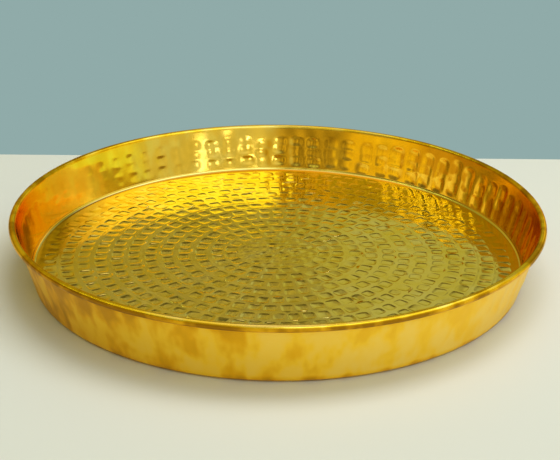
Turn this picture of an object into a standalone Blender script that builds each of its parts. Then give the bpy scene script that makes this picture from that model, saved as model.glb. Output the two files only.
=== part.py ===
"""Round hammered brass serving tray with a wired edge.

The tray is made of three pieces.  wall_band is a hoop of sheet: a narrow lip turned in
under it, which the tray stands on, a wall that leans outwards, and a rim that is rolled
outwards around a ring of wire.  floor_plate is a disc with a shallow upturned edge, set
into the band a little above the table.  rim_wire is the ring of wire.  The hammer marks
are shallower than the sheet is thick, so the sheet is modelled smooth.

Metres, +Z up.  The origin is on the axis of the tray, on the surface that it stands on.
Outlines are half sections in the (radius, height) plane.
"""
import math

import bpy

MM = 0.001

# Driving dimensions.
RIM_DIAMETER = 305.0 * MM       # over the outside of the rolled rim
TRAY_HEIGHT = 36.5 * MM         # from the standing surface to the top of the rim
FLOOR_HEIGHT = 7.0 * MM         # top of the floor above the standing surface
FOOT_RADIUS = 137.9 * MM        # where the flat lip meets the rounded foot of the wall
FOOT_ROUNDING = 3.0 * MM        # outer face of the rounded foot
LIP_RADIUS = 133.9 * MM         # inner edge of the lip
FLOOR_ROUNDING = 2.0 * MM       # inner face of the corner between floor and upturned edge
SHEET = 0.8 * MM                # sheet thickness
WIRE_DIAMETER = 1.7 * MM        # wire inside the rolled rim
CLEARANCE = 0.3 * MM            # between pieces, and at the end of the roll

# Fineness of the round faces.
TURN_STEPS = 96                 # round the axis of the tray
CORNER_STEPS = 6                # round the corners of the sections
ROLL_STEPS = 16                 # round the outside of the rolled rim
CAVITY_STEPS = 10               # round the hollow inside the rolled rim
WIRE_STEPS = 8                  # round the wire
SMOOTH_ANGLE = math.radians(40.0)
AXIS_MERGE = 0.01 * MM          # joins the outline's end points where they meet the axis

# Sizes that follow from the driving dimensions.
WIRE_RADIUS = WIRE_DIAMETER / 2
CAVITY_RADIUS = WIRE_RADIUS + CLEARANCE
ROLL_RADIUS = CAVITY_RADIUS + SHEET
FOOT_CENTRE = (FOOT_RADIUS, FOOT_ROUNDING)
ROLL_CENTRE = (RIM_DIAMETER / 2 - ROLL_RADIUS, TRAY_HEIGHT - ROLL_RADIUS)


def wall_lean():
    """Angle of the wall from upright: its middle touches the foot's and the roll's arcs."""
    run = ROLL_CENTRE[0] - FOOT_CENTRE[0]
    rise = ROLL_CENTRE[1] - FOOT_CENTRE[1]
    middle_radii = (FOOT_ROUNDING - SHEET / 2) + (ROLL_RADIUS - SHEET / 2)
    return math.atan2(run, rise) - math.asin(middle_radii / math.hypot(run, rise))


def arc(centre, radius, start, end, steps):
    """Points on a circle about centre, from the start angle to the end angle, both included."""
    angles = [start + (end - start) * step / steps for step in range(steps + 1)]
    return [(centre[0] + radius * math.cos(a), centre[1] + radius * math.sin(a)) for a in angles]


def band_outline():
    """Section of the band, from the lip up its inner face, over the rim and back below."""
    lean = wall_lean()
    lip_angle = -math.pi / 2
    wall_angle = -lean
    roll_start = math.pi - lean
    roll_end = -lean - math.acos((CLEARANCE - CAVITY_RADIUS) / ROLL_RADIUS)

    outline = [(LIP_RADIUS, SHEET)]
    outline += arc(FOOT_CENTRE, FOOT_ROUNDING - SHEET, lip_angle, wall_angle, CORNER_STEPS)
    outline += arc(ROLL_CENTRE, ROLL_RADIUS, roll_start, roll_end, ROLL_STEPS)
    outline += arc(ROLL_CENTRE, CAVITY_RADIUS, roll_end, roll_start, CAVITY_STEPS)
    outline += arc(FOOT_CENTRE, FOOT_ROUNDING, wall_angle, lip_angle, CORNER_STEPS)
    outline += [(LIP_RADIUS, 0.0)]
    return outline


def floor_corner_centre():
    """Centre of the floor's corner, with the upturned edge held clear of the band's wall."""
    lean = wall_lean()
    height = FLOOR_HEIGHT + FLOOR_ROUNDING
    wall_face = FOOT_ROUNDING - SHEET
    plate_face = FLOOR_ROUNDING + SHEET
    across = wall_face - CLEARANCE - plate_face
    rise = height - FOOT_CENTRE[1]
    radius = FOOT_CENTRE[0] + (across + rise * math.sin(lean)) / math.cos(lean)
    return (radius, height)


def plate_outline():
    """Section of the floor, from the axis along its upper face, over its edge and back below."""
    floor_angle = -math.pi / 2
    wall_angle = -wall_lean()
    centre = floor_corner_centre()

    outline = [(0.0, FLOOR_HEIGHT)]
    outline += arc(centre, FLOOR_ROUNDING, floor_angle, wall_angle, CORNER_STEPS)
    outline += arc(centre, FLOOR_ROUNDING + SHEET, wall_angle, floor_angle, CORNER_STEPS)
    outline += [(0.0, FLOOR_HEIGHT - SHEET)]
    return outline


def wire_outline():
    """Section of the wire: a circle, run clockwise, whose last point joins its first."""
    return arc(ROLL_CENTRE, WIRE_RADIUS, 2 * math.pi, 0.0, WIRE_STEPS)[:-1]


def metal_material(name, colour, roughness):
    """A plain metal."""
    material = bpy.data.materials.new(name)
    material.use_nodes = True
    shader = material.node_tree.nodes["Principled BSDF"]
    shader.inputs["Base Color"].default_value = (*colour, 1.0)
    shader.inputs["Metallic"].default_value = 1.0
    shader.inputs["Roughness"].default_value = roughness
    material.diffuse_color = (*colour, 1.0)
    return material


def turned_piece(name, outline, closed, material):
    """An object whose outline is turned round the Z axis by a Screw modifier."""
    points = [(radius, 0.0, height) for radius, height in outline]
    edges = [(index, index + 1) for index in range(len(points) - 1)]
    if closed:
        edges.append((len(points) - 1, 0))
    mesh = bpy.data.meshes.new(name)
    mesh.from_pydata(points, edges, [])
    mesh.materials.append(material)
    piece = bpy.data.objects.new(name, mesh)
    bpy.context.scene.collection.objects.link(piece)

    turn = piece.modifiers.new("Turn", "SCREW")
    turn.axis = "Z"
    turn.angle = 2 * math.pi
    turn.steps = TURN_STEPS
    turn.render_steps = TURN_STEPS
    turn.use_merge_vertices = True
    turn.merge_threshold = AXIS_MERGE
    turn.use_smooth_shade = True
    return piece


def shade_round_faces(piece):
    """Applies the Screw modifier and shades the round faces smooth up to their creases."""
    graph = bpy.context.evaluated_depsgraph_get()
    turned = bpy.data.meshes.new_from_object(piece.evaluated_get(graph))
    turned.name = piece.name
    piece.modifiers.clear()
    piece.data = turned
    turned.shade_smooth()
    turned.set_sharp_from_angle(angle=SMOOTH_ANGLE)


def main():
    for old in list(bpy.data.objects):
        bpy.data.objects.remove(old, do_unlink=True)

    band_brass = metal_material("brass_band", (0.88, 0.62, 0.20), 0.22)
    plate_brass = metal_material("brass_plate", (0.88, 0.62, 0.20), 0.22)
    steel = metal_material("steel_wire", (0.62, 0.61, 0.58), 0.35)

    wall_band = turned_piece("wall_band", band_outline(), True, band_brass)
    floor_plate = turned_piece("floor_plate", plate_outline(), False, plate_brass)
    rim_wire = turned_piece("rim_wire", wire_outline(), True, steel)
    for piece in (wall_band, floor_plate, rim_wire):
        shade_round_faces(piece)


main()
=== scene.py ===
import math
from collections import namedtuple

import bpy
import numpy as np
from mathutils import Matrix, Vector


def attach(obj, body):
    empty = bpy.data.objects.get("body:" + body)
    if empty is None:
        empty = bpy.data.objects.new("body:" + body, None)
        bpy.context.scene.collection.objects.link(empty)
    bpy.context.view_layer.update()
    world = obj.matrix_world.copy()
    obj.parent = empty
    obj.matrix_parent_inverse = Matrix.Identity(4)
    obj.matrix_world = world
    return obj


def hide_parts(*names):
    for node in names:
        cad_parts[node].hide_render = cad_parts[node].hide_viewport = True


# A round hammered brass tray.  Its floor and wall are made here as fine meshes that carry the
# hammer marks, and stand for the smooth CAD pieces.  The CAD's rim wire is kept.
#
# Lengths are in millimetres until mesh_object() turns them into metres.  Angles round the tray
# start from +X.  The camera looks from -Y, so +Y is the back of the tray and -X is its left.

MM = 0.001
SEED = 7
FULL_TURN = 2 * math.pi
START_RANGE = 6.28              # a random start angle lies between 0 and this

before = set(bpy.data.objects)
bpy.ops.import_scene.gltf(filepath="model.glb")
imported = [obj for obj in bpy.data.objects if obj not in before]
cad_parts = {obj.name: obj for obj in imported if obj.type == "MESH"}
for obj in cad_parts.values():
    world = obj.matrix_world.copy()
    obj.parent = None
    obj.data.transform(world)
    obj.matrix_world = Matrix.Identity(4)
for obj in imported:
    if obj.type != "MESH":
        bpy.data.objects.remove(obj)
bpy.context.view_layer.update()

# ---------------------------------------------------------------- the tray's sizes
RIM_RADIUS = 152.5
TRAY_HEIGHT = 36.5
FLOOR_HEIGHT = 7.0
FOOT_RADIUS = 137.9
FOOT_ROUNDING = 3.0
LIP_RADIUS = 133.9
FLOOR_ROUNDING = 2.0
SHEET = 0.8
CAVITY_RADIUS = 1.15            # the hollow in the rolled rim
CLEARANCE = 0.3                 # at the end of the roll
ROLL_RADIUS = CAVITY_RADIUS + SHEET
FOOT_CENTRE = np.array([FOOT_RADIUS, FOOT_ROUNDING])
ROLL_CENTRE = np.array([RIM_RADIUS - ROLL_RADIUS, TRAY_HEIGHT - ROLL_RADIUS])


def wall_lean():
    """Angle of the wall from upright: its middle touches the foot's and the roll's arcs."""
    run, rise = ROLL_CENTRE - FOOT_CENTRE
    middle_radii = (FOOT_ROUNDING - SHEET / 2) + (ROLL_RADIUS - SHEET / 2)
    return math.atan2(run, rise) - math.asin(middle_radii / math.hypot(run, rise))


LEAN = wall_lean()


# ---------------------------------------------------------------- points and faces
def arc(centre, radius, start, end, steps):
    """Points on a circle about centre, from the start angle to the end angle, both included."""
    angle = start + (end - start) * np.arange(steps + 1) / steps
    return np.stack([centre[0] + radius * np.cos(angle), centre[1] + radius * np.sin(angle)], 1)


def between(start, end, steps):
    """Points that divide a straight line into steps, without its ends."""
    t = np.arange(1, steps) / steps
    return np.outer(1 - t, start) + np.outer(t, end)


def round_angles(count):
    return FULL_TURN * np.arange(count) / count


def polar(radius, angle):
    return radius * np.cos(angle), radius * np.sin(angle)


def signed_turn(angle):
    """The same angles, between minus half a turn and half a turn."""
    return (angle + math.pi) % FULL_TURN - math.pi


# Rings are closed lists of point numbers.  Where they run anticlockwise seen from above, the
# faces between them look down, and with flip they look up.
def fan(faces, hub, ring, flip=False):
    """Triangles from a hub to the ring round it."""
    for i, point in enumerate(ring):
        following = ring[(i + 1) % len(ring)]
        faces.append((hub, point, following) if flip else (hub, following, point))


def join_rings(faces, near, far, flip=False):
    """Four-sided faces between two rings with as many points."""
    for i in range(len(near)):
        k = (i + 1) % len(near)
        if flip:
            faces.append((near[i], far[i], far[k], near[k]))
        else:
            faces.append((near[i], near[k], far[k], far[i]))


def zip_rings(faces, inner, inner_angle, outer, outer_angle, flip=False):
    """Triangles between two rings with different points, given with the points' angles."""
    shift = int(np.argmin(np.abs(signed_turn(outer_angle - inner_angle[0]))))
    outer = outer[shift:] + outer[:shift]
    outer_angle = np.unwrap(np.roll(outer_angle, -shift))
    outer_angle = outer_angle - FULL_TURN * round((outer_angle[0] - inner_angle[0]) / FULL_TURN)
    outer_angle = np.append(outer_angle, outer_angle[0] + FULL_TURN)
    inner_angle = np.append(np.unwrap(inner_angle), inner_angle[0] + FULL_TURN)
    n, m = len(inner), len(outer)
    i = j = 0
    while i < n or j < m:
        if j >= m or (i < n and inner_angle[i + 1] <= outer_angle[j + 1]):
            face = (inner[i % n], inner[(i + 1) % n], outer[j % m])
            i += 1
        else:
            face = (inner[i % n], outer[(j + 1) % m], outer[j % m])
            j += 1
        faces.append((face[0], face[2], face[1]) if flip else face)


class Waves:
    """Smooth unevenness: a sum of plane waves with seeded random directions and phases.

    The waves run over points (x, y), with lengths from shortest to longest.
    """

    def __init__(self, seed, shortest, longest, count):
        rng = np.random.default_rng(seed)
        lengths = np.exp(rng.uniform(math.log(shortest), math.log(longest), count))
        turns = rng.uniform(0, 2 * math.pi, count)
        directions = np.stack([np.cos(turns), np.sin(turns)], 1)
        self.k = directions * (2 * math.pi / lengths)[:, None]
        self.phase = rng.uniform(0, 2 * math.pi, count)
        self.gain = lengths / lengths.mean()
        self.gain /= math.sqrt((self.gain ** 2).sum() / 2)

    def __call__(self, points):
        return np.sin(points @ self.k.T + self.phase) @ self.gain


def mesh_object(name, points, faces, material):
    mesh = bpy.data.meshes.new(name)
    mesh.from_pydata([tuple(p) for p in np.asarray(points) * MM], [], faces)
    mesh.validate()
    mesh.update()
    mesh.materials.append(material)
    mesh.shade_smooth()
    piece = bpy.data.objects.new(name, mesh)
    bpy.context.scene.collection.objects.link(piece)
    return piece


# ---------------------------------------------------------------- hammered floor
FLOOR_RINGS = (27.0, 35.5, 45.0, 55.0, 64.5, 74.0, 84.0, 93.5, 103.0, 112.5, 122.0, 131.5)
RING_HALF_WIDTH = 4.15          # of the band of cells that holds a ring of marks
MARK_PITCH = 8.4                # along a ring
MARK_GAP = 1.7                  # between one mark and the next in its ring
MARK_HALF_WIDTH = 3.45          # across the ring
MARK_DEPTH = 0.17
MARK_CORNERS = 5                # how square the outline of a mark is: 2 is an ellipse
MARK_LOOPS = (0.56, 0.82, 0.92, 1.0, 1.10)     # sizes of the rings of points in and round a mark
FLATNESS = 7                    # how flat the bottom of a mark is
RIDGE = 0.020                   # metal pushed up round a mark
SIDE = 4                        # points on each side of a mark's cell

WAVE_DEPTH = 0.055              # the sheet's own unevenness, from broad to fine
RIPPLE_DEPTH = 0.018
FINE_DEPTH = 0.014

DISC_RADII = np.arange(1.0, 22.6, 1.0)         # rings of points in the disc in the middle
DISC_POINTS = 96                               # points in each of them
DISC_FINE_DEPTH = 0.060
DISC_DENTS = ((4.0, 5), (9.5, 10), (15.0, 16), (20.0, 22))     # (radius, number of dents)

EDGE = 0.3                      # thickness of the floor's edge, dressed where it meets the wall
EDGE_GAP = 0.04                 # between the edge and the wall
EDGE_POINTS = 480
MARGIN_RADIUS = 136.6           # from here out the floor has no marks
WAVE_END = 142.0                # the unevenness fades out over WAVE_FADE before this radius,
WAVE_FADE = 6.0                 # in the first WAVE_ROWS rows of the corner
WAVE_ROWS = 6

UNDERSIDE_RADII = (*np.arange(135.6, 21.0, -2.2), 14.0, 7.0)
UNDERSIDE_POINTS = ((90, 480), (40, 240), (0, 120))     # (beyond this radius, points in a ring)
UNDERSIDE_SMOOTH = 22.0         # radius of the smooth disc in the middle
BUMP_HEIGHT = 0.05              # the marks show through below as soft bumps
BUMP_HALF_WIDTH = 3.2


def rounded_square():
    """A unit square with rounded corners, as SIDE points to a side, from the corner (-1, -1)."""
    step = -1 + 2 * np.arange(SIDE) / SIDE
    one = np.ones(SIDE)
    u = np.concatenate([step, one, -step, -one])
    v = np.concatenate([-one, step, one, -step])
    size = (np.abs(u) ** MARK_CORNERS + np.abs(v) ** MARK_CORNERS) ** (1 / MARK_CORNERS)
    return u / size, v / size


def mark_force(radius, angle):
    """How hard a mark is struck: harder at the back left, more lightly at the front right."""
    force = 1 + 0.30 * max(0.0, -math.cos(angle + 0.55))
    force *= 1 - 0.40 * max(0.0, math.cos(angle + 0.40)) ** 2
    last_ring = radius == FLOOR_RINGS[-1]
    at_left = math.cos(angle) < -0.75
    return force * 0.3 if last_ring and at_left else force


def floor_edge_profile():
    """(radius, height) from the margin over the upturned edge to the back of the corner."""
    edge_face = FLOOR_ROUNDING + EDGE
    height = FLOOR_HEIGHT + FLOOR_ROUNDING
    across = (FOOT_ROUNDING - SHEET) - EDGE_GAP - edge_face
    rise = height - FOOT_ROUNDING
    corner = np.array([FOOT_RADIUS + (across + rise * math.sin(LEAN)) / math.cos(LEAN), height])
    towards_wall = np.array([math.cos(-LEAN), math.sin(-LEAN)])
    edge_middle = corner + towards_wall * (FLOOR_ROUNDING + EDGE / 2)
    below = -math.pi / 2
    return np.concatenate([
        np.array([[MARGIN_RADIUS, FLOOR_HEIGHT]]),
        arc(corner, FLOOR_ROUNDING, below, -LEAN, 10),
        arc(edge_middle, EDGE / 2, math.pi - LEAN, -LEAN, 6)[1:-1],
        arc(corner, edge_face, -LEAN, -math.radians(40), 4),
        arc(corner, FLOOR_ROUNDING + SHEET, -math.radians(52), below, 4),
    ])


class FloorMaker:
    """Builds the hammered floor in rings, from its middle outwards and back underneath."""

    def __init__(self):
        self.rng = np.random.default_rng(SEED)
        self.wave = Waves(SEED + 1, 26.0, 90.0, 14)
        self.ripple = Waves(SEED + 2, 7.0, 16.0, 18)
        self.fine = Waves(SEED + 3, 3.0, 8.0, 18)
        self.mark_outline = rounded_square()
        self.verts = []
        self.faces = []

    def land(self, x, y):
        """Height of the sheet between the marks."""
        p = np.stack([x, y], 1)
        uneven = WAVE_DEPTH * self.wave(p) + RIPPLE_DEPTH * self.ripple(p)
        return FLOOR_HEIGHT + uneven + FINE_DEPTH * self.fine(p)

    def add(self, x, y, z):
        """Adds points and returns their numbers."""
        first = len(self.verts)
        self.verts.extend(np.stack([x, y, z], 1).tolist())
        return list(range(first, first + len(x)))

    def add_land(self, radius, angle):
        x, y = polar(radius, angle)
        return self.add(x, y, self.land(x, y))

    def add_hub(self, height):
        """Adds one point on the axis."""
        return self.add(np.zeros(1), np.zeros(1), np.array([height]))[0]

    def disc(self):
        """The middle: smooth, with a few faint small dents.  Returns its last ring and angles."""
        rng = self.rng
        dents = []
        for radius, count in DISC_DENTS:
            start = rng.uniform(0, START_RANGE)
            for i in range(count):
                a = start + FULL_TURN * (i + rng.uniform(-0.2, 0.2)) / count
                r = radius + rng.uniform(-0.8, 0.8)
                size = rng.uniform(1.9, 2.8)
                depth = rng.uniform(0.04, 0.10)
                dents.append((r * math.cos(a), r * math.sin(a), size, depth))

        hub = self.add_hub(FLOOR_HEIGHT)
        angle = round_angles(DISC_POINTS)
        previous = None
        for radius in DISC_RADII:
            x, y = polar(radius, angle)
            z = self.land(x, y) + DISC_FINE_DEPTH * self.fine(np.stack([x, y], 1))
            for dent_x, dent_y, size, depth in dents:
                t = np.clip(np.hypot(x - dent_x, y - dent_y) / size, 0, 1)
                z = z - depth * (1 - t ** 2)
            ring = self.add(x, y, z)
            if previous is None:
                fan(self.faces, hub, ring, flip=True)
            else:
                join_rings(self.faces, previous, ring, flip=True)
            previous = ring
        return previous, angle

    def ring_of_marks(self, radius):
        """A ring of cells with a mark in each.  Returns its inner and outer ring and angles."""
        rng = self.rng
        marks = int(round(FULL_TURN * radius / MARK_PITCH))
        low = radius - RING_HALF_WIDTH
        high = radius + RING_HALF_WIDTH
        # borders between the cells, unevenly spaced
        steps = 1 + rng.uniform(-0.13, 0.13, marks)
        borders = np.cumsum(steps) / steps.sum() * FULL_TURN + rng.uniform(0, START_RANGE)
        widths = np.roll(borders, -1) - borders
        widths[-1] += FULL_TURN
        angle = (borders[:, None] + widths[:, None] * np.arange(SIDE) / SIDE).ravel()
        inner = self.add_land(np.full(angle.shape, low), angle)
        outer = self.add_land(np.full(angle.shape, high), angle)
        radii = low + (high - low) * np.arange(1, SIDE) / SIDE
        sides = [self.add_land(radii, np.full(SIDE - 1, border)) for border in borders]
        for m in range(marks):
            after = (m + 1) % marks
            # a cell's boundary: its inner side, its end, its outer side, its start
            boundary = inner[m * SIDE:(m + 1) * SIDE]
            boundary += [inner[after * SIDE]] + sides[after]
            boundary += [outer[((m + 1) * SIDE - i) % len(outer)] for i in range(SIDE)]
            boundary += [outer[m * SIDE]] + sides[m][::-1]
            self.mark(radius, borders[m], widths[m], boundary)
        return inner, outer, angle

    def mark(self, radius, border, width, boundary):
        """One struck mark, a rounded rectangle with its own size, turn, tilt and depth."""
        rng = self.rng
        middle = border + width / 2
        along = np.array([-math.sin(middle), math.cos(middle)])
        outward = np.array([math.cos(middle), math.sin(middle)])
        centre = outward * (radius + rng.uniform(-0.35, 0.35)) + along * rng.uniform(-0.25, 0.25)
        half_along = 0.5 * (radius * width - MARK_GAP + rng.uniform(-0.5, 0.4))
        half_across = MARK_HALF_WIDTH + rng.uniform(-0.3, 0.22)
        turn = rng.normal(0, math.radians(3.0))
        depth = MARK_DEPTH * rng.uniform(0.6, 1.3) * mark_force(radius, middle)
        bowl = rng.uniform(0.02, 0.11)
        tilt_along, tilt_across = rng.normal(0, 0.024, 2)
        skew = rng.uniform(-0.06, 0.06)

        u, v = self.mark_outline
        a = u * half_along * (1 + skew * v)
        r = v * half_across
        c, s = math.cos(turn), math.sin(turn)
        a, r = a * c - r * s, a * s + r * c
        rings = []
        for t in MARK_LOOPS:
            x = centre[0] + t * (a * along[0] + r * outward[0])
            y = centre[1] + t * (a * along[1] + r * outward[1])
            z = self.land(x, y)
            if t < 1:
                z = z - depth * (1 - t ** FLATNESS) - bowl * (1 - t ** 2)
                z = z + (tilt_along * a * t + tilt_across * r * t) * (1 - t ** 4)
            elif t > 1:
                z = z + RIDGE
            rings.append(self.add(x, y, z))
        x, y = centre[:1], centre[1:]
        hub = self.add(x, y, self.land(x, y) - depth - bowl)[0]
        fan(self.faces, hub, rings[0])
        for near, far in zip(rings, rings[1:] + [boundary]):
            join_rings(self.faces, near, far)

    def edge(self, ring, ring_angle):
        """The margin and the upturned edge, joined to the given ring."""
        angle = round_angles(EDGE_POINTS)
        previous = None
        for row, (radius, height) in enumerate(floor_edge_profile()):
            x, y = polar(radius, angle)
            share = min(max((WAVE_END - radius) / WAVE_FADE, 0.0), 1.0) if row < WAVE_ROWS else 0.0
            points = self.add(x, y, height + (self.land(x, y) - FLOOR_HEIGHT) * share)
            if previous is None:
                zip_rings(self.faces, ring, ring_angle, points, angle, flip=True)
            else:
                join_rings(self.faces, previous, points, flip=True)
            previous = points
        return previous, angle

    def underside(self, outer, outer_angle):
        """The underside, from the given ring to the axis, with soft bumps under the marks."""
        for radius in UNDERSIDE_RADII:
            count = next(count for beyond, count in UNDERSIDE_POINTS if radius > beyond)
            angle = round_angles(count)
            x, y = polar(radius, angle)
            z = self.land(x, y) - SHEET
            if radius > UNDERSIDE_SMOOTH:
                nearest = min(FLOOR_RINGS, key=lambda ring_radius: abs(ring_radius - radius))
                marks = int(round(FULL_TURN * nearest / MARK_PITCH))
                swell = math.exp(-((nearest - radius) / BUMP_HALF_WIDTH) ** 2)
                z = z - BUMP_HEIGHT * swell * (0.6 + 0.4 * np.cos(marks * angle))
            ring = self.add(x, y, z)
            zip_rings(self.faces, ring, angle, outer, outer_angle)
            outer, outer_angle = ring, angle
        fan(self.faces, self.add_hub(FLOOR_HEIGHT - SHEET), outer)


def build_floor(material):
    maker = FloorMaker()
    ring, ring_angle = maker.disc()
    for radius in FLOOR_RINGS:
        inner, outer, angle = maker.ring_of_marks(radius)
        zip_rings(maker.faces, ring, ring_angle, inner, angle, flip=True)
        ring, ring_angle = outer, angle
    maker.underside(*maker.edge(ring, ring_angle))
    return mesh_object("hammered_floor", maker.verts, maker.faces, material)


# ---------------------------------------------------------------- hammered wall with rolled rim
COLUMNS = 76                    # upright columns of strikes
STRIKES = (11.5, 17.5, 24.0)    # below the top of the rim, along the wall
POINTS_PER_COLUMN = 10
DENT_RADIUS = 143.0             # of the wall at half its height
DENT_SEARCH = 1.3 / 140.0       # radians round the tray that hold a dent, for 1 mm of half width
FIELD_POWER = 4                 # dents that meet are added as this power: a soft union
SWAY = 0.05                     # broad unevenness of the wall
SWAY_RADIUS = 145.0
SWAY_FROM = 6.0                 # below the top of the rim, where it has its full size
SWAY_TO = 34.0                  # where it ends, having faded out over SWAY_FADE
SWAY_FADE = 5.0
GROOVE_BELOW = 4.3              # where painted shade lies in the groove under the roll, below the top of the rim

Dent = namedtuple("Dent", "angle below half_width half_height depth tilt force")


def wall_profile():
    """The section of the band, as (radius, height) points, and the name of each point's part."""
    outwards = np.array([math.cos(LEAN), -math.sin(LEAN)])
    below = -math.pi / 2
    roll_start = math.pi - LEAN
    roll_end = -LEAN - math.acos((CLEARANCE - CAVITY_RADIUS) / ROLL_RADIUS)
    inner_low = FOOT_CENTRE + (FOOT_ROUNDING - SHEET) * outwards
    inner_high = ROLL_CENTRE - ROLL_RADIUS * outwards
    outer_high = ROLL_CENTRE - CAVITY_RADIUS * outwards
    outer_low = FOOT_CENTRE + FOOT_ROUNDING * outwards
    parts = (
        ("lip", np.array([[LIP_RADIUS, SHEET]])),
        ("corner", arc(FOOT_CENTRE, FOOT_ROUNDING - SHEET, below, -LEAN, 4)),
        ("inside", between(inner_low, inner_high, 34)),
        ("roll", arc(ROLL_CENTRE, ROLL_RADIUS, roll_start, roll_end, 18)),
        ("hollow", arc(ROLL_CENTRE, CAVITY_RADIUS, roll_end, roll_start, 8)),
        ("outside", between(outer_high, outer_low, 16)),
        ("foot", arc(FOOT_CENTRE, FOOT_ROUNDING, -LEAN, below, 5)),
        ("foot", np.array([[LIP_RADIUS, 0.0]])),
    )
    names = np.concatenate([[name] * len(points) for name, points in parts])
    return np.concatenate([points for _, points in parts]), names


def wall_dents(rng):
    """Three strikes in each column, struck hardest at the back right, where they run together."""
    steps = 1 + rng.uniform(-0.06, 0.06, COLUMNS)
    centres = np.cumsum(steps) / steps.sum() * FULL_TURN
    dents = []
    for centre in centres:
        shift = rng.normal(0, 0.5)
        force = (0.5 + 0.5 * math.cos(centre - math.radians(35))) ** 2.3
        for strike in STRIKES:
            angle = centre + rng.normal(0, 0.45) / DENT_RADIUS
            below = strike + shift + rng.normal(0, 0.5)
            half_width = 4.3 + 0.4 * force + rng.uniform(-0.5, 0.5)
            half_height = 3.5 + 1.9 * force ** 3 + rng.uniform(-0.4, 0.5)
            depth = (0.06 + 0.38 * force) * rng.uniform(0.6, 1.3)
            # the lowest strike is lighter still where the column is struck lightly
            if strike == STRIKES[-1]:
                depth *= 1 - max(0.0, 0.5 - force)
            tilt = rng.normal(0, 0.012)
            dents.append(Dent(angle, below, half_width, half_height, depth, tilt, force))
    return dents


def press(field, rows, gain, spread, dents, angle, radius, below):
    """Adds the dents to some rows of the field, gain times as deep and spread times as wide."""
    for dent in dents:
        turn = signed_turn(angle - dent.angle)
        cols = np.nonzero(np.abs(turn) < dent.half_width * spread * DENT_SEARCH)[0]
        across = turn[cols][None, :] * radius[rows] / (dent.half_width * spread)
        upwards = (below[rows] - dent.below) / (dent.half_height * spread)
        t = np.clip((np.abs(across) ** 3 + np.abs(upwards) ** 3) ** (1 / 3), 0, 1)
        # a hard strike has a flat bottom and steep sides, a light one is a soft hollow
        bump = dent.depth * (1 - t ** (2.2 + 1.0 * dent.force)) ** (1.8 - 0.8 * dent.force)
        bump = bump * (1 + dent.tilt * 20 * across * (1 - t))
        field[np.ix_(rows, cols)] += (bump * gain) ** FIELD_POWER


def wall_film_and_shade(names, below, angle):
    """How far the film has gone at each point of the wall, with painted shade and painted light
    laid on it, and how satin the brass is there.
    """
    shape = (len(names), len(angle))
    # painted light: inside, the wall's brass is paler and brightest at the left, offsetting the
    # orange of light bounced between the walls there
    age_and_shade = np.broadcast_to(0.16 - 0.16 * (0.5 - 0.5 * np.cos(angle)) ** 3, shape).copy()
    # outside: painted shade in the groove under the roll, and painted shade that darkens the wall
    # towards the left and back and leaves it lightest at the front right
    outside = names == "outside"
    groove = np.exp(-(below[outside] - GROOVE_BELOW) ** 2)
    age_and_shade[outside] = 0.26 * groove + np.minimum(0.51 - 0.22 * np.cos(angle + 0.35), 0.62)
    # painted highlight and shade on the rim: the crest of the roll is painted light at the front
    # and back and darker at the sides, and its outer, lower part is painted dark as shade
    rolled = names == "roll"
    share = np.linspace(0, 1, np.count_nonzero(rolled))[:, None]
    crest = 0.18 + 0.48 * np.abs(np.cos(angle))
    age_and_shade[rolled] = crest + (0.82 - crest) * np.clip((share - 0.40) / 0.10, 0, 1)
    # painted shade: the foot is darkened for the shadowed table that it reflects
    age_and_shade[names == "foot"] = 0.58

    satin = np.zeros(shape)
    satin[outside | (names == "foot")] = 1.0
    satin[rolled] = np.where(share > 0.45, 0.75, 0.15)
    return age_and_shade, satin


def build_wall(material):
    profile, names = wall_profile()
    angle = round_angles(COLUMNS * POINTS_PER_COLUMN)
    radius = profile[:, :1]
    height = profile[:, 1:]
    below = (TRAY_HEIGHT - height) / math.cos(LEAN)     # from the top of the rim, along the wall

    dents = wall_dents(np.random.default_rng(SEED + 10))
    field = np.zeros((len(profile), len(angle)))
    for part, gain, spread in (("inside", 1.0, 1.0), ("outside", 1.3, 1.2)):
        rows = np.nonzero(names == part)[0]
        press(field, rows, gain, spread, dents, angle, radius, below)
    field = field ** (1 / FIELD_POWER)

    wave = Waves(SEED + 11, 25.0, 90.0, 12)
    x, y = polar(SWAY_RADIUS, angle)
    sway = SWAY * wave(np.stack([x[None, :] + below, y[None, :] - below * 0.7], 2))
    fade = np.clip(below / SWAY_FROM, 0, 1) * np.clip((SWAY_TO - below) / SWAY_FADE, 0, 1)
    push = field + sway * fade

    x, y = polar(radius + push * math.cos(LEAN), angle[None, :])
    z = height - push * math.sin(LEAN)
    faces = []
    rings = np.arange(field.size).reshape(field.shape).tolist()
    for ring, following in zip(rings, rings[1:] + rings[:1]):
        join_rings(faces, ring, following)
    piece = mesh_object("hammered_wall", np.stack([x, y, z], 2).reshape(-1, 3), faces, material)

    age_and_shade, satin = wall_film_and_shade(names, below, angle)
    for name, values in (("age_and_shade", age_and_shade), ("satin", satin)):
        attribute = piece.data.attributes.new(name, "FLOAT", "POINT")
        attribute.data.foreach_set("value", values.ravel().astype(np.float32))
    return piece


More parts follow.
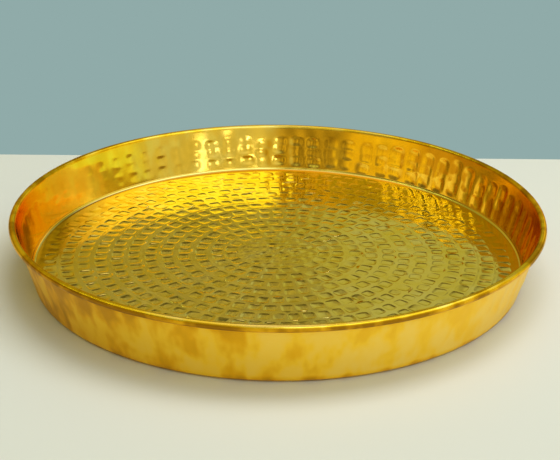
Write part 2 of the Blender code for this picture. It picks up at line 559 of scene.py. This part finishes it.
# ---------------------------------------------------------------- materials
class Nodes:
    """Short calls for building a node tree."""

    def __init__(self, tree):
        self.tree = tree

    def new(self, kind, **values):
        """A node with its properties and the defaults of its inputs set by name."""
        node = self.tree.nodes.new(kind)
        for key, value in values.items():
            if hasattr(node, key):
                setattr(node, key, value)
            else:
                node.inputs[key.replace("_", " ")].default_value = value
        return node

    def link(self, a, b):
        self.tree.links.new(a, b)

    def math(self, operation, a, b):
        """The output of a Math node; a and b are outputs or numbers."""
        node = self.tree.nodes.new("ShaderNodeMath")
        node.operation = operation
        for index, value in enumerate((a, b)):
            if isinstance(value, (int, float)):
                node.inputs[index].default_value = value
            else:
                self.link(value, node.inputs[index])
        return node.outputs[0]

    def noise(self, place, **values):
        node = self.new("ShaderNodeTexNoise", **values)
        self.link(place, node.inputs["Vector"])
        return node.outputs["Fac"]

    def map_range(self, value, low, high, to_low=0.0, to_high=1.0, interpolation_type="LINEAR"):
        node = self.new("ShaderNodeMapRange", interpolation_type=interpolation_type,
                        From_Min=low, From_Max=high, To_Min=to_low, To_Max=to_high)
        self.link(value, node.inputs["Value"])
        return node.outputs[0]

    def smooth_step(self, value, low, high):
        return self.map_range(value, low, high, interpolation_type="SMOOTHSTEP")

    def mix_value(self, share, a, b):
        """The number a where share is 0, and the output b where it is 1."""
        node = self.new("ShaderNodeMix", data_type="FLOAT")
        self.link(share, node.inputs[0])
        node.inputs[2].default_value = a
        self.link(b, node.inputs[3])
        return node.outputs[0]

    def mix_colour(self, share, a, b):
        node = self.new("ShaderNodeMix", data_type="RGBA")
        self.link(share, node.inputs[0])
        self.link(a, node.inputs[6])
        self.link(b, node.inputs[7])
        return node.outputs[2]

    def ramp(self, source, stops):
        node = self.tree.nodes.new("ShaderNodeValToRGB")
        elements = node.color_ramp.elements
        while len(elements) < len(stops):
            elements.new(0.5)
        for element, (place, colour) in zip(elements, stops):
            element.position = place
            element.color = (*colour, 1.0)
        self.link(source, node.inputs[0])
        return node.outputs[0]

    def bump(self, height, shader, strength, distance):
        node = self.new("ShaderNodeBump", Distance=distance)
        if isinstance(strength, float):
            node.inputs["Strength"].default_value = strength
        else:
            self.link(strength, node.inputs["Strength"])
        self.link(height, node.inputs["Height"])
        self.link(node.outputs["Normal"], shader.inputs["Normal"])


def new_material(name):
    material = bpy.data.materials.new(name)
    material.use_nodes = True
    return material, Nodes(material.node_tree), material.node_tree.nodes["Principled BSDF"]


# Brass from bright to brown, by how far the film on it has gone; on the wall the same colours also
# paint shade and light.
PATINA_AND_SHADE = (
    (0.00, (0.94, 0.77, 0.26)),
    (0.10, (0.94, 0.66, 0.14)),
    (0.22, (0.94, 0.64, 0.11)),
    (0.42, (0.95, 0.59, 0.03)),
    (0.58, (0.84, 0.44, 0.006)),
    (0.76, (0.62, 0.30, 0.004)),
    (1.00, (0.34, 0.15, 0.002)),
)
EDGE_TINT = (1.0, 0.74, 0.24, 1.0)      # of the brass seen at a glancing angle
MOTTLE_MIDDLE = 0.97                    # about the average of the two noises that are added
SATIN_DIFFUSE = 0.60                    # share of the light that a satin face scatters
SATIN_ROUGHNESS = 0.20


def brass(name, base_age, uneven, rough):
    """Polished brass under an uneven film, which goes as far as the mesh's "age" says; on the wall
    that number also carries painted shade and painted light.

    Where the mesh's "satin" is 1 the brass isn't polished, and scatters part of the light.
    """
    material, n, shader = new_material(name)
    shader.inputs["Specular Tint"].default_value = EDGE_TINT
    place = n.new("ShaderNodeTexCoord").outputs["Object"]
    # clouds, and upright blotches about as wide as a hammer mark
    cloud = n.noise(place, Scale=28.0, Detail=5.0, Roughness=0.6)
    stretch = n.new("ShaderNodeMapping", Scale=(1.0, 1.0, 0.55))
    n.link(place, stretch.inputs["Vector"])
    blotch = n.noise(stretch.outputs[0], Scale=85.0, Detail=2.5, Roughness=0.5)
    mottle = n.math("ADD", n.smooth_step(blotch, 0.36, 0.66), cloud)
    swing = n.math("MULTIPLY", n.math("SUBTRACT", mottle, MOTTLE_MIDDLE), uneven)
    # the film, and the painted shade and light on the wall, are more uneven where there is more of
    # them
    age_and_shade = n.math("ADD", n.new("ShaderNodeAttribute", attribute_name="age_and_shade").outputs["Fac"], base_age)
    swing = n.math("MULTIPLY", swing, n.math("ADD", n.math("MULTIPLY", age_and_shade, 1.6), 0.3))
    film = n.math("ADD", age_and_shade, swing)
    n.link(n.ramp(film, PATINA_AND_SHADE), shader.inputs["Base Color"])

    satin = n.new("ShaderNodeAttribute", attribute_name="satin").outputs["Fac"]
    metallic = n.math("SUBTRACT", 1.0, n.math("MULTIPLY", satin, SATIN_DIFFUSE))
    n.link(metallic, shader.inputs["Metallic"])
    speck = n.noise(place, Scale=700.0, Detail=3.0, Roughness=0.65)
    roughness = n.math("ADD", n.math("MULTIPLY", cloud, 0.08), n.math("MULTIPLY", speck, 0.06))
    roughness = n.math("ADD", roughness, n.math("MULTIPLY", film, 0.12))
    roughness = n.math("ADD", roughness, n.math("MULTIPLY", satin, SATIN_ROUGHNESS))
    n.link(n.math("ADD", roughness, rough - 0.08), shader.inputs["Roughness"])

    grain = n.noise(place, Scale=420.0, Detail=4.0, Roughness=0.6)
    strength = n.math("ADD", n.math("MULTIPLY", satin, 0.08), 0.025)
    n.bump(grain, shader, strength, 0.0004)
    return material


def wire_metal():
    """Drawn steel, dull in patches."""
    material, n, shader = new_material("drawn_wire")
    shader.inputs["Metallic"].default_value = 1.0
    place = n.new("ShaderNodeTexCoord").outputs["Object"]
    cloud = n.noise(place, Scale=160.0, Detail=4.0, Roughness=0.6)
    colour = n.ramp(cloud, ((0.3, (0.30, 0.28, 0.25)), (0.7, (0.62, 0.61, 0.58))))
    n.link(colour, shader.inputs["Base Color"])
    n.link(n.math("ADD", n.math("MULTIPLY", cloud, 0.3), 0.2), shader.inputs["Roughness"])
    n.bump(cloud, shader, 0.2, 0.0002)
    return material


# ---------------------------------------------------------------- floor of the scene
STAGE_FRONT = -2.5              # metres; the stage ends a little behind the tray
STAGE_BACK = 0.188
STAGE_SIDE = 2.5
STAGE_TOP = -0.0002
STAGE_COLOUR = (0.61, 0.59, 0.50, 1.0)


def build_floor_stage():
    material, _, shader = new_material("pale_floor")
    shader.inputs["Roughness"].default_value = 0.55
    shader.inputs["Base Color"].default_value = STAGE_COLOUR
    corners = ((-STAGE_SIDE, STAGE_FRONT), (STAGE_SIDE, STAGE_FRONT),
               (STAGE_SIDE, STAGE_BACK), (-STAGE_SIDE, STAGE_BACK))
    mesh = bpy.data.meshes.new("floor")
    mesh.from_pydata([(x, y, STAGE_TOP) for x, y in corners], [], [(0, 1, 2, 3)])
    mesh.materials.append(material)
    floor = bpy.data.objects.new("floor", mesh)
    bpy.context.scene.collection.objects.link(floor)


# ---------------------------------------------------------------- studio
# A tray this bright shows what surrounds it, so the studio is soft colours by direction.  Each
# list here goes up from low to high, as (degrees above the horizon, colour).
LEFT = (
    (-20, (0.30, 0.32, 0.26)), (0, (0.74, 0.42, 0.02)), (9, (0.78, 0.46, 0.03)),
    (14, (0.24, 0.17, 0.04)), (30, (0.24, 0.24, 0.08)), (40, (0.72, 0.86, 0.35)),
    (54, (0.74, 0.90, 0.40)),
)
WINDOW = (
    (-20, (0.45, 0.48, 0.40)), (0, (0.80, 0.52, 0.03)), (6, (1.05, 0.70, 0.03)),
    (11, (1.50, 1.08, 0.04)), (15, (0.50, 0.38, 0.08)), (30, (0.30, 0.28, 0.10)),
    (44, (0.62, 0.78, 0.35)), (54, (0.60, 0.74, 0.40)),
)
FRONT_LEFT = (
    (-20, (0.24, 0.18, 0.10)), (2, (0.42, 0.28, 0.04)), (7, (0.66, 0.47, 0.05)),
    (12, (0.74, 0.53, 0.06)), (18, (0.30, 0.24, 0.07)), (26, (0.95, 1.02, 0.40)),
    (40, (1.05, 1.08, 0.40)), (54, (0.90, 1.00, 0.50)),
)
FRONT_RIGHT = (
    (-20, (0.50, 0.45, 0.34)), (0, (0.88, 0.81, 0.30)), (12, (0.91, 0.84, 0.32)),
    (20, (1.14, 1.10, 0.66)), (36, (1.60, 1.70, 1.40)), (45, (1.82, 3.00, 4.60)),
    (56, (1.96, 3.10, 4.60)),
)
RIGHT = (
    (-20, (0.50, 0.50, 0.40)), (0, (1.02, 1.01, 0.06)), (12, (1.12, 1.09, 0.16)),
    (24, (1.05, 1.12, 0.45)), (38, (1.40, 1.55, 2.00)), (46, (1.86, 2.45, 3.90)),
    (56, (1.96, 2.70, 3.90)),
)
BACK_FAR_RIGHT = (
    (-20, (0.38, 0.44, 0.36)), (4, (0.40, 0.44, 0.20)), (14, (0.26, 0.28, 0.12)),
    (30, (0.30, 0.36, 0.16)), (42, (1.15, 1.20, 1.70)), (54, (1.10, 1.15, 1.50)),
)
BACK_CORNER = (
    (-20, (0.38, 0.30, 0.16)), (2, (0.42, 0.30, 0.12)), (8, (1.08, 1.06, 1.10)),
    (16, (1.22, 1.26, 1.60)), (21, (0.46, 0.46, 0.40)), (31, (0.48, 0.58, 0.40)),
    (35, (0.24, 0.26, 0.12)), (52, (0.20, 0.20, 0.10)),
)
BACK_RIGHT = (
    (-25, (0.28, 0.41, 0.40)), (-8, (0.32, 0.45, 0.44)), (4, (0.18, 0.20, 0.12)),
    (12, (0.28, 0.34, 0.28)), (18, (0.45, 0.57, 0.58)), (24, (0.47, 0.59, 0.60)),
    (31, (0.43, 0.53, 0.52)), (35, (0.20, 0.22, 0.12)), (52, (0.18, 0.18, 0.10)),
)
BACK_LEFT = (
    (-25, (0.25, 0.37, 0.36)), (-8, (0.28, 0.40, 0.39)), (4, (0.14, 0.15, 0.08)),
    (12, (0.28, 0.30, 0.18)), (18, (0.46, 0.50, 0.35)), (24, (0.47, 0.51, 0.36)),
    (31, (0.42, 0.44, 0.31)), (35, (0.13, 0.14, 0.07)), (52, (0.12, 0.12, 0.06)),
)
FAR_LEFT = (
    (-25, (0.25, 0.37, 0.36)), (-8, (0.28, 0.40, 0.39)), (2, (0.26, 0.24, 0.06)),
    (14, (0.42, 0.33, 0.09)), (24, (0.57, 0.52, 0.12)), (38, (0.36, 0.40, 0.14)),
    (54, (0.40, 0.46, 0.20)),
)
DARK_LEFT = (
    (-20, (0.30, 0.32, 0.26)), (0, (0.50, 0.24, 0.01)), (9, (0.50, 0.28, 0.02)),
    (16, (0.24, 0.18, 0.04)), (30, (0.24, 0.24, 0.08)), (40, (0.72, 0.86, 0.35)),
    (54, (0.74, 0.90, 0.40)),
)
TOP = ((62, (1.10, 1.10, 1.05)), (90, (1.10, 1.05, 1.00)))     # the same all the way round
BAR_HEIGHT = 40                 # degrees above the horizon that count as high for a bar


def bar(stops, high, low=1.0):
    """A bar or gap of a blind: the same colours, times high where they are high up, else low."""
    return tuple(
        (height, tuple((high if height >= BAR_HEIGHT else low) * c for c in colour))
        for height, colour in stops
    )


# Going round from -180 degrees, the bearing of -X: (bearing of a border in degrees from +X, how
# soft it is, what lies beyond it).  FIRST is what comes before the first border.
FIRST = bar(LEFT, 0.15)
SECTORS = (
    (-177, 1.5, bar(LEFT, 3.6)),
    (-172.5, 1.5, bar(LEFT, 0.15)),
    (-168, 1.5, bar(LEFT, 3.0)),
    (-162, 4, WINDOW),
    (-125, 8, FRONT_LEFT),
    (-115, 1.5, bar(FRONT_LEFT, 0.30, 0.66)),
    (-111, 1.5, bar(FRONT_LEFT, 1.2, 1.2)),
    (-107, 1.5, bar(FRONT_LEFT, 0.20, 0.60)),
    (-102, 1.5, bar(FRONT_LEFT, 1.3, 1.3)),
    (-98, 1.5, bar(FRONT_LEFT, 0.25, 0.66)),
    (-94, 1.5, FRONT_LEFT),
    (-88, 5, FRONT_RIGHT),
    (-21, 11, RIGHT),
    (28, 14, BACK_FAR_RIGHT),
    (52, 6, BACK_CORNER),
    (73, 3, BACK_RIGHT),
    (88, 3, BACK_LEFT),
    (104, 6, FAR_LEFT),
    (158, 10, DARK_LEFT),
    (157, 1.5, bar(DARK_LEFT, 3.0)),
    (161, 1.5, bar(DARK_LEFT, 0.15)),
    (166, 1.5, bar(DARK_LEFT, 3.6)),
    (171, 1.5, bar(DARK_LEFT, 0.15)),
)
# The backdrop behind the tray hangs in folds: (bearing, brightness).  The first and the last
# brightness also hold for every bearing beyond them.
FOLDS = (
    (72, 0.76), (75, 0.60), (77.5, 0.62), (79, 0.84), (81, 0.97), (83, 1.00), (85, 1.07),
    (87, 1.02), (88.5, 0.88), (89.6, 0.74), (90.6, 0.78), (91.6, 1.0), (93, 1.08),
    (94.2, 0.98), (95, 0.80), (96, 1.08), (97.5, 1.04), (99, 0.88), (102, 0.85),
)
FOLDS_START = 60.0              # bearings that the ramp of the folds runs between
FOLDS_END = 120.0
FOLDS_SCALE = 2.0               # keeps the ramp's values under 1
GATHERED = ((93.0, 6.5, 2.0), (-130.0, 38.0, 6.0))     # finely streaked: (middle, half width, soft)
# Streaks: (frequency across, frequency upwards, darkest, brightest)
BROAD_STREAKS = (0.16, 3.2, 0.84, 1.10)
FINE_STREAKS = (0.9, 5.0, 0.55, 1.30)
STREAKS_FADE = (-0.10, 0.08)    # the streaks and folds fade in over these heights
BACKDROP = (0.279, 0.407, 0.397, 1.0)


def build_world():
    world = bpy.data.worlds.new("studio")
    bpy.context.scene.world = world
    world.use_nodes = True
    n = Nodes(world.node_tree)
    split = n.new("ShaderNodeSeparateXYZ")
    n.link(n.new("ShaderNodeTexCoord").outputs["Generated"], split.inputs[0])
    x, y, z = split.outputs
    up = n.math("ADD", n.math("MULTIPLY", z, 0.5), 0.5)
    bearing = n.math("MULTIPLY", n.math("ARCTAN2", y, x), 180 / math.pi)

    def by_height(stops):
        """Colour by height: the ramp runs along z, from straight down to straight up."""
        degrees_up = (*stops, *TOP)
        return n.ramp(up, [(0.5 + 0.5 * math.sin(math.radians(e)), c) for e, c in degrees_up])

    colour = by_height(FIRST)
    for border, soft, stops in SECTORS:
        beyond = n.smooth_step(bearing, border - soft, border + soft)
        colour = n.mix_colour(beyond, colour, by_height(stops))

    def streaks(across, upwards, darkest, brightest):
        """Soft upright streaks of brightness."""
        spread = n.new("ShaderNodeCombineXYZ")
        n.link(n.math("MULTIPLY", bearing, across), spread.inputs[0])
        n.link(n.math("MULTIPLY", z, upwards), spread.inputs[1])
        noise = n.noise(spread.outputs[0], Scale=1.0, Detail=4.0, Roughness=0.6)
        return n.map_range(noise, 0.38, 0.62, darkest, brightest)

    shares = []
    for middle, half, soft in GATHERED:
        away = n.math("ABSOLUTE", n.math("SUBTRACT", bearing, middle), 0.0)
        shares.append(n.smooth_step(away, half + soft, half - soft))
    fine = n.mix_value(n.math("MAXIMUM", *shares), 1.0, streaks(*FINE_STREAKS))
    brightness = n.math("MULTIPLY", streaks(*BROAD_STREAKS), fine)

    span = FOLDS_END - FOLDS_START
    stops = [((at - FOLDS_START) / span, (level / FOLDS_SCALE,) * 3) for at, level in FOLDS]
    folds = n.ramp(n.map_range(bearing, FOLDS_START, FOLDS_END), stops)
    brightness = n.math("MULTIPLY", brightness, n.math("MULTIPLY", folds, FOLDS_SCALE))
    strength = n.mix_value(n.map_range(z, *STREAKS_FADE), 1.0, brightness)

    # seen directly, the studio is a plain backdrop
    background = world.node_tree.nodes["Background"]
    n.link(colour, background.inputs["Color"])
    n.link(strength, background.inputs["Strength"])
    plain = n.new("ShaderNodeBackground", Color=BACKDROP)
    seen = n.new("ShaderNodeMixShader")
    n.link(n.new("ShaderNodeLightPath").outputs["Is Camera Ray"], seen.inputs[0])
    n.link(background.outputs[0], seen.inputs[1])
    n.link(plain.outputs[0], seen.inputs[2])
    n.link(seen.outputs[0], world.node_tree.nodes["World Output"].inputs["Surface"])


# Lamps: (name, place, aimed at, (width, height), watts, colour, seen in the brass)
LAMPS = (
    ("key", (0.296, 0.107, 1.261), (0, 0, 0), (0.60, 1.00), 10.3, (1.0, 0.99, 0.99), False),
    ("fill", (0.70, -1.35, 0.25), (0, -0.14, 0.02), (0.50, 0.40), 2.6, (1.0, 0.90, 0.66), False),
    ("window", (0.286, -1.460, 0.199), (0, 0, 0.02), (0.10, 0.10), 0.22, (1.0, 0.98, 0.88), True),
    ("window_right", (0.640, -1.345, 0.260), (0, 0, 0.02), (0.10, 0.10), 0.07,
     (1.0, 0.96, 0.80), True),
    ("window_far_right", (0.960, -1.140, 0.260), (0, 0, 0.02), (0.10, 0.10), 0.07,
     (1.0, 0.96, 0.80), True),
)


def soft_box(name, place, target, size, power, colour, seen):
    light = bpy.data.lights.new(name, "AREA")
    light.shape = "RECTANGLE"
    light.size, light.size_y = size
    light.energy = power
    light.color = colour
    box = bpy.data.objects.new(name, light)
    box.location = place
    box.rotation_euler = (Vector(target) - Vector(place)).to_track_quat("-Z", "Y").to_euler()
    box.visible_glossy = seen
    bpy.context.scene.collection.objects.link(box)


# ---------------------------------------------------------------- camera
LENS = 77.464                   # mm, on a sensor 36 mm wide
DISTANCE = 0.71015              # metres, from the middle of the tray's standing surface
ELEVATION = 24.348              # degrees above the table
PITCH = 1.544                   # degrees turned up, to the right and about the line of sight,
YAW = 0.103                     # from looking straight at that middle
ROLL = 0.503


def turned(a, b, degrees):
    """The directions a and b turned together in their plane, a towards b."""
    c, s = math.cos(math.radians(degrees)), math.sin(math.radians(degrees))
    return a * c + b * s, b * c - a * s


def build_camera():
    e = math.radians(ELEVATION)
    place = Vector((0.0, -DISTANCE * math.cos(e), DISTANCE * math.sin(e)))
    ahead = -place.normalized()
    right = Vector((1.0, 0.0, 0.0))
    up = right.cross(ahead)
    ahead, up = turned(ahead, up, PITCH)
    ahead, right = turned(ahead, right, YAW)
    right, up = turned(right, up, ROLL)
    data = bpy.data.cameras.new("camera")
    data.sensor_width = 36.0
    data.lens = LENS
    data.clip_start = 0.01
    camera = bpy.data.objects.new("camera", data)
    turn = Matrix((right, up, -ahead)).transposed().to_4x4()
    camera.matrix_world = Matrix.Translation(place) @ turn
    bpy.context.scene.collection.objects.link(camera)
    bpy.context.scene.camera = camera


# ---------------------------------------------------------------- the scene
build_camera()
build_world()
build_floor_stage()
for lamp in LAMPS:
    soft_box(*lamp)

bpy.context.scene.view_settings.view_transform = "Standard"
bpy.context.scene.cycles.blur_glossy = 0.0

floor_brass = brass("hammered_brass_floor", 0.14, 0.22, 0.11)
wall_brass = brass("hammered_brass_wall", 0.0, 0.27, 0.11)
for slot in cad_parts["rim_wire"].material_slots:
    slot.material = wire_metal()

hammered_floor = build_floor(floor_brass)
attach(hammered_floor, "root")
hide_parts("floor_plate")

hammered_wall = build_wall(wall_brass)
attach(hammered_wall, "root")
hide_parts("wall_band")
